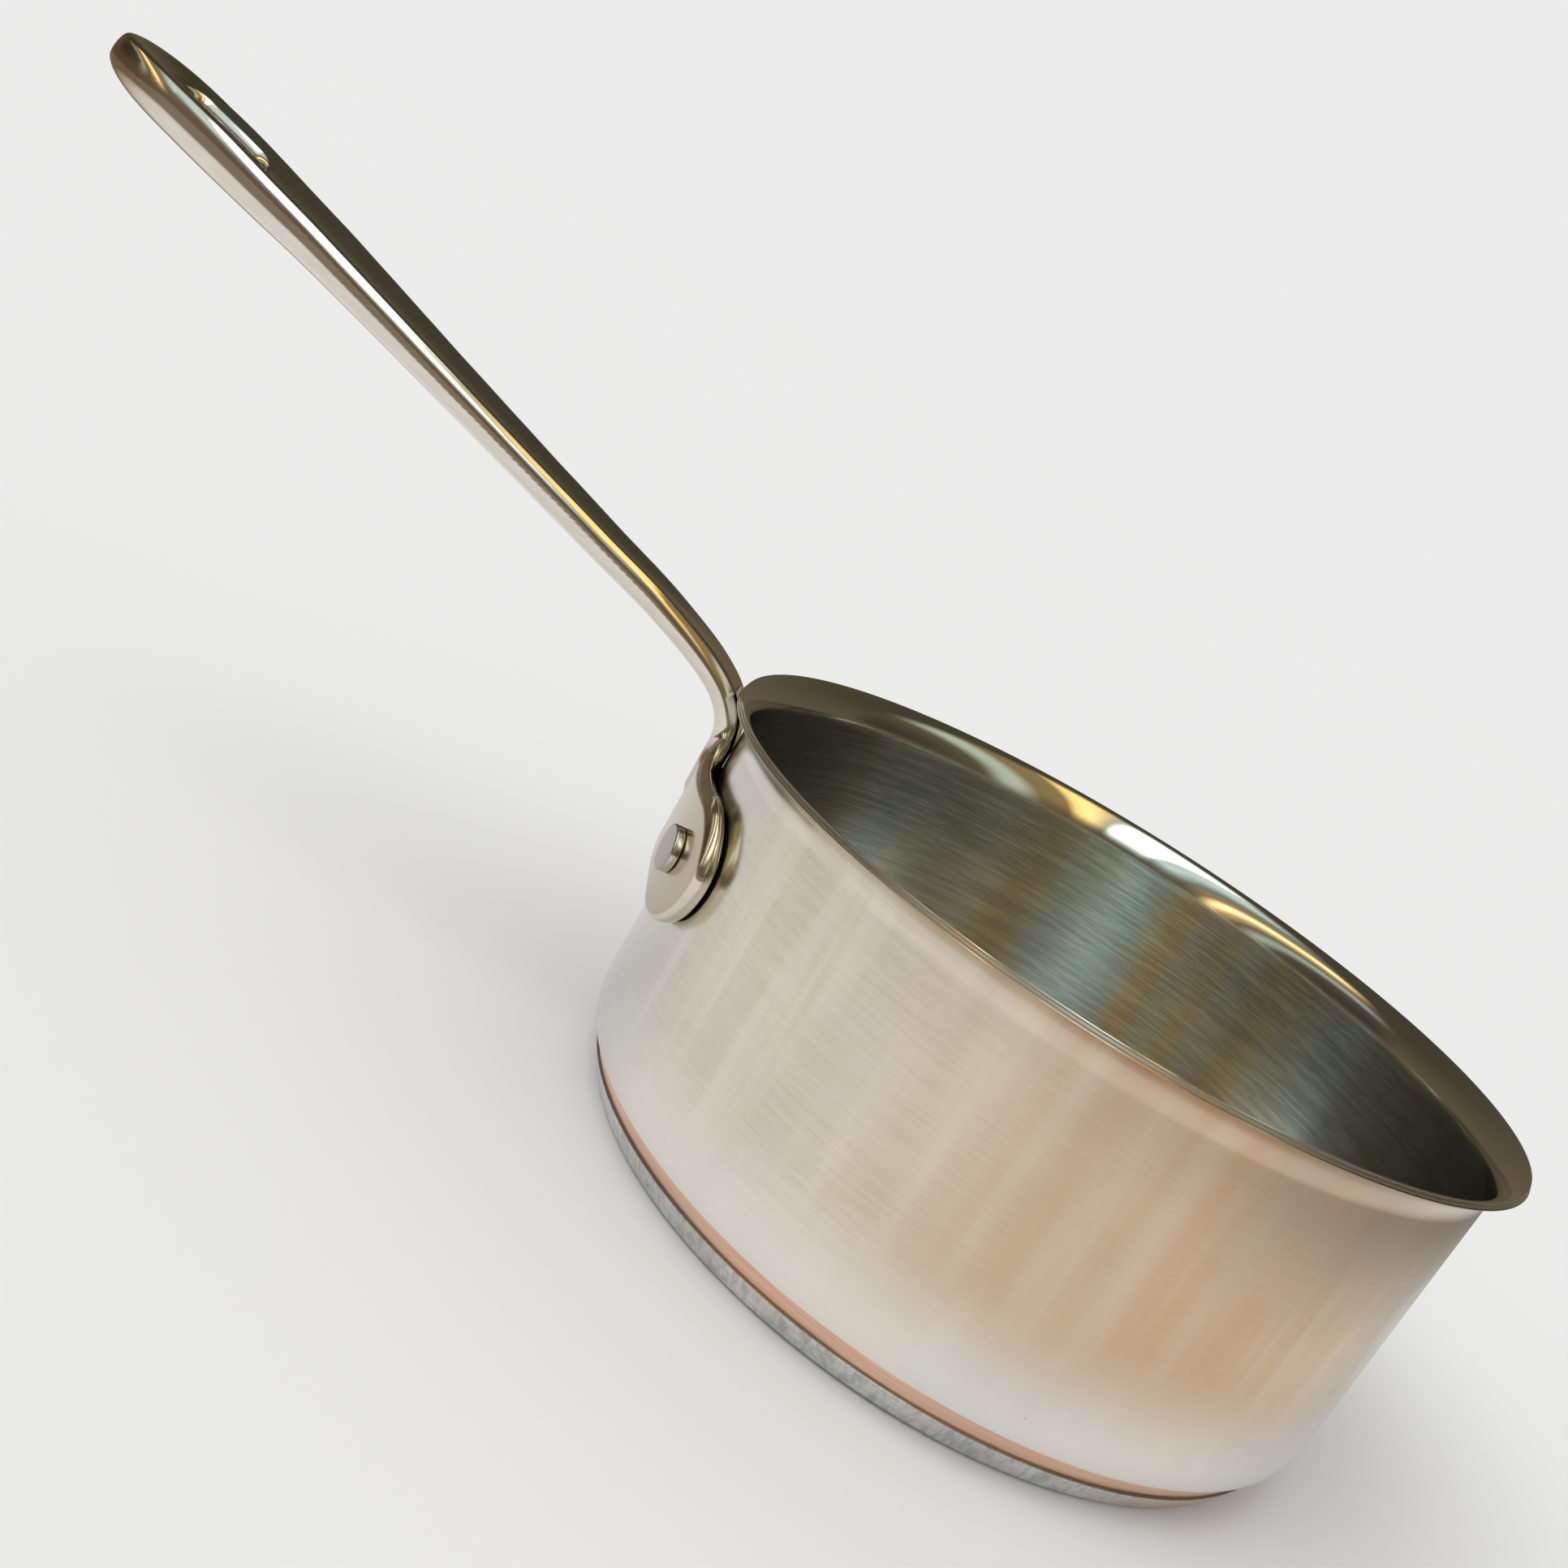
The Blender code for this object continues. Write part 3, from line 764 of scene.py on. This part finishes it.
def inside_metal(name, polished_above):
    """The lining: satin, brushed round, with dark grain, tinted streaks that are painted reflections, and a
    mirror polished lip.
    """
    material, nodes, shader, where = new_metal(name, 0.85)
    (turn_x, turn_y, radius, height), fine, coarse, _, smudge, speck = surface_marks(nodes, where)
    tone = nodes.plus(nodes.times(coarse, 0.5), nodes.times(fine, 0.5))
    colour = nodes.mix(nodes.smooth(tone, 0.3, 0.7), (0.74, 0.76, 0.73), (0.98, 0.99, 0.97))
    colour = nodes.mix(nodes.smooth(smudge, 0.45, 0.72, 0.0, 0.5), colour, (0.68, 0.64, 0.56))
    band = nodes.smooth(tone, 0.3, 0.7, 0.6, 1.0)
    band = nodes.times(band, nodes.smooth(radius, 0.080, 0.098))
    low = nodes.smooth(height, 0.040, 0.088, 1.0, 0.6)
    # Painted reflections: amber, teal and dim tints set by azimuth from the table above, only near the wall.
    for azimuth, inner, outer, tint, amount in LINING_TINTS:
        share = facing(nodes, turn_x, turn_y, azimuth, inner, outer)
        if tint == AMBER:
            share = nodes.times(share, low)
        share = nodes.times(nodes.times(share, amount), band)
        colour = nodes.mix(share, colour, tint)
    grain = nodes.noise(brushed(nodes, turn_x, turn_y, radius, height, 4.5, 800.0), 1.0, 4.0, 0.7)
    dark = nodes.smooth(grain, 0.40, 0.60, 0.38, 0.0)
    dark = nodes.times(dark, nodes.smooth(radius, 0.080, 0.098, 0.4, 1.0))
    colour = nodes.mix(dark, colour, (0.34, 0.34, 0.32))
    spots = nodes.smooth(speck, 0.75, 0.80, 0.0, 0.35)
    colour = nodes.mix(spots, colour, (0.30, 0.27, 0.22))
    shine = nodes.smooth(height, polished_above - 0.0002, polished_above + 0.0002)
    colour = nodes.mix(nodes.times(shine, 0.8), colour, (0.72, 0.70, 0.64))
    rough = nodes.remap(fine, 0.3, 0.7, 0.18, 0.23)
    rough = nodes.plus(rough, nodes.remap(smudge, 0.4, 0.75, -0.01, 0.04))
    rough = nodes.times(rough, nodes.remap(shine, 0.0, 1.0, 1.0, 0.34))
    nodes.link(colour, shader.inputs["Base Color"])
    nodes.link(rough, shader.inputs["Roughness"])
    relief = nodes.plus(fine, nodes.times(coarse, 1.5))
    relief = nodes.times(relief, nodes.remap(shine, 0.0, 1.0, 1.0, 0.05))
    nodes.link(nodes.bump(relief, 1.0, 0.000012), shader.inputs["Normal"])
    return material


def copper_band(name):
    """Copper at the band; toned toward steel at the rim, where the photo shows no copper line."""
    material, nodes, shader, where = new_metal(name, 0.4)
    (_, _, _, height), fine, coarse, _, smudge, _ = surface_marks(nodes, where)
    colour = nodes.mix(nodes.smooth(coarse, 0.3, 0.7), (0.86, 0.52, 0.38), (0.96, 0.66, 0.50))
    colour = nodes.mix(nodes.smooth(smudge, 0.42, 0.72, 0.0, 0.55), colour, (0.80, 0.55, 0.44))
    rim = nodes.smooth(height, 0.085, 0.092)
    colour = nodes.mix(nodes.times(rim, 0.85), colour, (0.55, 0.50, 0.43))
    nodes.link(colour, shader.inputs["Base Color"])
    nodes.link(nodes.remap(fine, 0.3, 0.7, 0.30, 0.40), shader.inputs["Roughness"])
    nodes.link(nodes.bump(coarse, 1.0, 0.000006), shader.inputs["Normal"])
    return material


def plain_aluminium(name):
    material, nodes, shader, where = new_metal(name)
    _, fine, coarse, _, _, _ = surface_marks(nodes, where)
    nodes.link(nodes.mix(fine, (0.46, 0.44, 0.41), (0.62, 0.60, 0.57)), shader.inputs["Base Color"])
    nodes.link(nodes.remap(coarse, 0.3, 0.7, 0.45, 0.6), shader.inputs["Roughness"])
    return material


def rivet_metal(name):
    """Rivets: turned face, a little rough and dark, with small dents."""
    material, nodes, shader, where = new_metal(name)
    _, _, radius, _ = round_pan(nodes, where)
    face = nodes.smooth(radius, 0.1108, 0.1113)
    grain = nodes.noise(where, 1900.0, 3.0, 0.6)
    dent = nodes.noise(where, 420.0, 2.0, 0.5)
    colour = nodes.mix(nodes.smooth(grain, 0.35, 0.65), (0.66, 0.64, 0.60), (0.76, 0.74, 0.70))
    colour = nodes.mix(nodes.times(face, 0.8), colour, (0.36, 0.32, 0.27))
    nodes.link(colour, shader.inputs["Base Color"])
    rough = nodes.plus(nodes.remap(grain, 0.3, 0.7, 0.12, 0.18), nodes.times(face, 0.14))
    nodes.link(rough, shader.inputs["Roughness"])
    relief = nodes.plus(grain, nodes.times(dent, 3.0))
    nodes.link(nodes.bump(relief, 1.0, 0.000012), shader.inputs["Normal"])
    return material


def polished_cast(name):
    """Polished casting: lengthwise marks and smudges, with painted reflections: a darker top, a brown tip and
    a tan flange face.
    """
    material, nodes, shader, where = new_metal(name)
    mapping = nodes.add("ShaderNodeMapping")
    mapping.inputs["Rotation"].default_value = (0.0, -math.radians(17.0), 0.0)
    mapping.inputs["Scale"].default_value = (14.0, 900.0, 900.0)
    nodes.link(where, mapping.inputs["Vector"])
    marks = nodes.noise(mapping.outputs[0], 1.0, 4.0, 0.65)
    wave = nodes.noise(where, 55.0, 1.0, 0.4)
    smudge = nodes.noise(where, 90.0, 5.0, 0.65)
    colour = nodes.mix(nodes.smooth(marks, 0.3, 0.7), (0.74, 0.68, 0.59), (0.81, 0.755, 0.67))
    colour = nodes.mix(nodes.smooth(smudge, 0.5, 0.75, 0.0, 0.5), colour, (0.70, 0.62, 0.50))
    _, _, radius, height = round_pan(nodes, where)
    # Painted reflection: upward-facing surfaces of the stick tinted darker teal-grey.
    upward = nodes.add("ShaderNodeSeparateXYZ")
    nodes.link(nodes.add("ShaderNodeTexCoord").outputs["Normal"], upward.inputs[0])
    top = nodes.smooth(upward.outputs["Z"], 0.55, 0.82)
    top = nodes.times(top, nodes.smooth(radius, 0.118, 0.150))
    colour = nodes.mix(nodes.times(top, 0.35), colour, (0.40, 0.46, 0.46))
    # Painted reflection: dark brown toward the tip of the loop.
    tip_reflection = nodes.plus(radius, nodes.times(smudge, 0.02))
    colour = nodes.mix(nodes.smooth(tip_reflection, 0.296, 0.322, 0.0, 0.8), colour, (0.46, 0.32, 0.16))
    # Painted reflection: the flange's front face tinted tan; it is also made rougher.
    front = nodes.smooth(radius, 0.1085, 0.1089)
    front = nodes.times(front, nodes.smooth(height, 0.078, 0.086, 1.0, 0.0))
    tan = nodes.mix(smudge, (0.44, 0.36, 0.26), (0.60, 0.51, 0.39))
    colour = nodes.mix(nodes.times(front, 0.9), colour, tan)
    nodes.link(colour, shader.inputs["Base Color"])
    rough = nodes.remap(smudge, 0.4, 0.75, 0.05, 0.11)
    rough = nodes.plus(rough, nodes.remap(marks, 0.3, 0.7, -0.01, 0.02))
    rough = nodes.plus(rough, nodes.times(front, 0.13))
    nodes.link(rough, shader.inputs["Roughness"])
    first = nodes.bump(marks, 1.0, 0.0000015)
    nodes.link(nodes.bump(wave, 1.0, 0.00006, first), shader.inputs["Normal"])
    return material


# Pieces

OUTER_AL_OUT = SKIN + PLY_GAP
OUTER_AL_IN = OUTER_AL_OUT + OUTER_ALUMINIUM
COPPER_OUT = OUTER_AL_IN + PLY_GAP
COPPER_IN = COPPER_OUT + COPPER
INNER_AL_OUT = COPPER_IN + PLY_GAP
INNER_AL_IN = INNER_AL_OUT + INNER_ALUMINIUM
LINING_OUT = INNER_AL_IN + PLY_GAP

outside_steel = outside_metal("steel_outside")
base_steel = base_metal("steel_base")
inside_steel = inside_metal("steel_inside", LIP_START * MM + 0.0016)
aluminium = plain_aluminium("aluminium_ply")
copper = copper_band("copper_core")
cast_steel = polished_cast("polished_cast_steel")
rivet_steel = rivet_metal("rivet_steel")


def layer(name, run, outside, inside, ease):
    return ply(name, run(outside), run(inside), ease)

pieces = (
    (layer("outer_wall_skin", wall_run, 0.0, SKIN, 0.10),
     "outer_steel_wall", "steel_outside", outside_steel),
    (layer("outer_base_skin", base_run, 0.0, SKIN, 0.10),
     "outer_steel_base", "steel_base", base_steel),
    (layer("aluminium_wall_ply", wall_run, OUTER_AL_OUT, OUTER_AL_IN, 0.03),
     "outer_aluminium_wall", "aluminium", aluminium),
    (layer("aluminium_base_ply", base_run, OUTER_AL_OUT, OUTER_AL_IN, 0.03),
     "outer_aluminium_base", "aluminium", aluminium),
    (layer("copper_ply", whole_run, COPPER_OUT, COPPER_IN, 0.05),
     "copper_core", "copper", copper),
    (layer("inner_aluminium", whole_run, INNER_AL_OUT, INNER_AL_IN, 0.03),
     "inner_aluminium_ply", "aluminium", aluminium),
    (ply("steel_lining", whole_run(LINING_OUT), inside_run(WALL_THICKNESS), 0.12),
     "inner_steel_lining", "steel_inside", inside_steel),
    (rivet("near_rivet", -1), "rivet_near", "polished_steel", rivet_steel),
    (rivet("far_rivet", 1), "rivet_far", "polished_steel", rivet_steel),
    (cast_handle("cast_handle", HANDLE_STEP), "handle", "polished_steel", cast_steel),
)
for piece, node, slot, material in pieces:
    piece.data.materials.append(material)
    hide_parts(node)
    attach(piece, "root")


# Stage, camera and light

def new_stage():
    """A plain pale floor, which grows dark away from the pan for reflections only."""
    rows = [(0.0, 0.0), (400.0, 0.0), (1500.0, 0.0), (9000.0, 0.0)]
    floor = turned("floor", rows, False, 96)
    floor.data.transform(Matrix.Translation((0.0, 0.0, -0.0003)))
    material = bpy.data.materials.new("pale_floor")
    material.use_nodes = True
    nodes = Nodes(material.node_tree)
    shader = material.node_tree.nodes["Principled BSDF"]
    where = nodes.add("ShaderNodeTexCoord").outputs["Object"]
    cloud = nodes.noise(where, 3.0, 3.0, 0.5)
    colour = nodes.mix(cloud, (0.79, 0.79, 0.79), (0.81, 0.81, 0.81))
    distance = nodes.add("ShaderNodeVectorMath", operation="DISTANCE")
    nodes.link(where, distance.inputs[0])
    distance.inputs[1].default_value = (-0.12, -0.10, 0.0)
    glossy = nodes.add("ShaderNodeLightPath").outputs["Is Glossy Ray"]
    far = nodes.smooth(distance.outputs["Value"], 0.32, 0.60)
    colour = nodes.mix(nodes.times(far, glossy), colour, (0.24, 0.20, 0.15))
    nodes.link(colour, shader.inputs["Base Color"])
    shader.inputs["Roughness"].default_value = 1.0
    shader.inputs["Specular IOR Level"].default_value = 0.0
    floor.data.materials.append(material)


CAMERA_PLACE = (-88.32, -410.15, 185.19)
CAMERA_ELEVATION = math.radians(14.3845)
CAMERA_ROLL = math.radians(30.112)
CAMERA_LENS = 39.16

def new_camera():
    """The camera fitted to the photo: it looks along +Y and down, and is rolled."""
    data = bpy.data.cameras.new("camera")
    data.lens = CAMERA_LENS
    data.sensor_width = 36.0
    data.clip_start = 0.01
    camera = bpy.data.objects.new("camera", data)
    bpy.context.scene.collection.objects.link(camera)
    elevation, roll = CAMERA_ELEVATION, CAMERA_ROLL
    ahead = Vector((0.0, math.cos(elevation), -math.sin(elevation)))
    right = Vector((1.0, 0.0, 0.0))
    up = Vector((0.0, math.sin(elevation), math.cos(elevation)))
    across = right * math.cos(roll) + up * math.sin(roll)
    upward = up * math.cos(roll) - right * math.sin(roll)
    turn = Matrix((across, upward, -ahead)).transposed().to_4x4()
    camera.matrix_world = Matrix.Translation(Vector(CAMERA_PLACE) * MM) @ turn
    bpy.context.scene.camera = camera


def soft_sun(name, aim, angle, strength, colour):
    data = bpy.data.lights.new(name, "SUN")
    data.energy = strength
    data.color = colour
    data.angle = math.radians(angle)
    light = bpy.data.objects.new(name, data)
    bpy.context.scene.collection.objects.link(light)
    light.rotation_euler = Vector(aim).to_track_quat("Z", "Y").to_euler()
    light.visible_glossy = False


def heading(azimuth, elevation):
    """Unit vector; azimuth from +X toward +Y, in degrees."""
    a, e = math.radians(azimuth), math.radians(elevation)
    return Vector((math.cos(a) * math.cos(e), math.sin(a) * math.cos(e), math.sin(e)))


def new_world():
    """Even light for the floor, and for the metal a dark room with strips of light overhead."""
    world = bpy.data.worlds.new("studio")
    world.use_nodes = True
    world.cycles.sampling_method = "NONE"
    bpy.context.scene.world = world
    nodes = Nodes(world.node_tree)
    direction = nodes.add("ShaderNodeTexCoord").outputs["Generated"]
    split = nodes.add("ShaderNodeSeparateXYZ")
    nodes.link(direction, split.inputs[0])
    x, y, z = split.outputs
    room = nodes.mix(nodes.smooth(z, 0.0, 0.8), (0.15, 0.118, 0.075), (0.075, 0.066, 0.045))
    strips = nodes.add("ShaderNodeValToRGB")
    nodes.link(nodes.math("MULTIPLY_ADD", x, 0.5, 0.5), strips.inputs["Fac"])
    elements = strips.color_ramp.elements
    for _ in range(len(SKY_STRIPS) - 2):
        elements.new(0.5)
    for element, (place, colour) in zip(elements, SKY_STRIPS):
        element.position = place * 0.5 + 0.5
        element.color = (*(c / STRIP_POWER for c in colour), 1.0)
    bright = nodes.mix(1.0, strips.outputs["Color"], (STRIP_POWER,) * 3, "MULTIPLY")
    front = nodes.smooth(y, -0.99, -0.66)
    behind = nodes.smooth(y, 0.10, 0.34, 1.0, 0.0)
    share = nodes.times(nodes.times(front, behind), nodes.smooth(z, 0.02, 0.25))
    colour = nodes.mix(share, room, bright)
    path = nodes.add("ShaderNodeLightPath")
    colour = nodes.mix(path.outputs["Is Diffuse Ray"], colour, (SKY, SKY, SKY))
    colour = nodes.mix(path.outputs["Is Camera Ray"], colour, (BACKDROP, BACKDROP, BACKDROP))
    back = world.node_tree.nodes["Background"]
    nodes.link(colour, back.inputs["Color"])
    back.inputs["Strength"].default_value = 1.0


SKY = 0.80
BACKDROP = 0.838

# Strips of light overhead, from the handle's side to the far side: place from -1 to 1, colour
STRIP_POWER = 4.0
SKY_STRIPS = (
    (-1.00, (0.05, 0.04, 0.03)),
    (-0.82, (0.10, 0.09, 0.07)),
    (-0.74, (0.50, 0.58, 0.50)),
    (-0.66, (0.16, 0.13, 0.09)),
    (-0.58, (0.90, 0.60, 0.25)),
    (-0.52, (2.60, 1.95, 0.95)),
    (-0.45, (0.40, 0.28, 0.14)),
    (-0.34, (0.22, 0.24, 0.20)),
    (-0.22, (0.75, 0.92, 0.90)),
    (-0.15, (0.70, 0.80, 0.76)),
    (-0.10, (2.60, 2.95, 2.85)),
    (0.08, (2.40, 2.75, 2.65)),
    (0.12, (0.55, 0.50, 0.34)),
    (0.20, (1.90, 1.35, 0.55)),
    (0.26, (1.70, 1.15, 0.42)),
    (0.31, (0.34, 0.25, 0.12)),
    (0.46, (0.32, 0.23, 0.10)),
    (0.56, (0.60, 0.68, 0.56)),
    (0.64, (0.55, 0.62, 0.50)),
    (0.74, (0.14, 0.11, 0.07)),
    (1.00, (0.05, 0.04, 0.03)),
)

new_stage()
new_camera()
new_world()
soft_sun("key", heading(215.0, 55.0), 45.0, 0.95, (1.0, 0.995, 0.985))

scene = bpy.context.scene
scene.view_settings.view_transform = "Standard"
